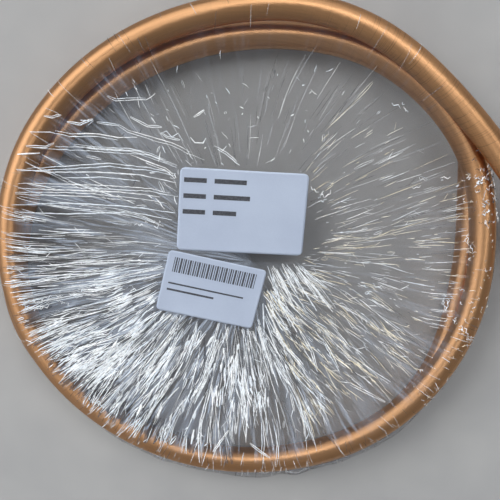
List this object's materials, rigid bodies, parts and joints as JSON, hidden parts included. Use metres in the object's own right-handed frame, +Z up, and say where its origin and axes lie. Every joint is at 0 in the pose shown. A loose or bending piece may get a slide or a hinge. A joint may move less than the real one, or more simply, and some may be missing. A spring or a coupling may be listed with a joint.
{
  "type": "copper tube coil",
  "caption": "Short coil of soft copper tube with a free end, wrapped in clear stretch film with two plain paper labels on top.",
  "frame": {"origin": "middle of the coil on the floor plane, under its eye", "axes": "+Z up out of the coil's eye, +X towards the side where the free end leaves, +Y away from the viewer"},
  "size_m": [0.2918, 0.248, 0.0372],
  "materials": {
    "copper": "satin drawn copper",
    "clear_film": "clear stretch film, glossy and creased",
    "label_paper": "smooth white label stock"
  },
  "bodies": {
    "root": {"copper_tube": "copper", "stretch_film": "clear_film", "product_label": "label_paper", "small_label": "label_paper"}
  },
  "joints": []
}
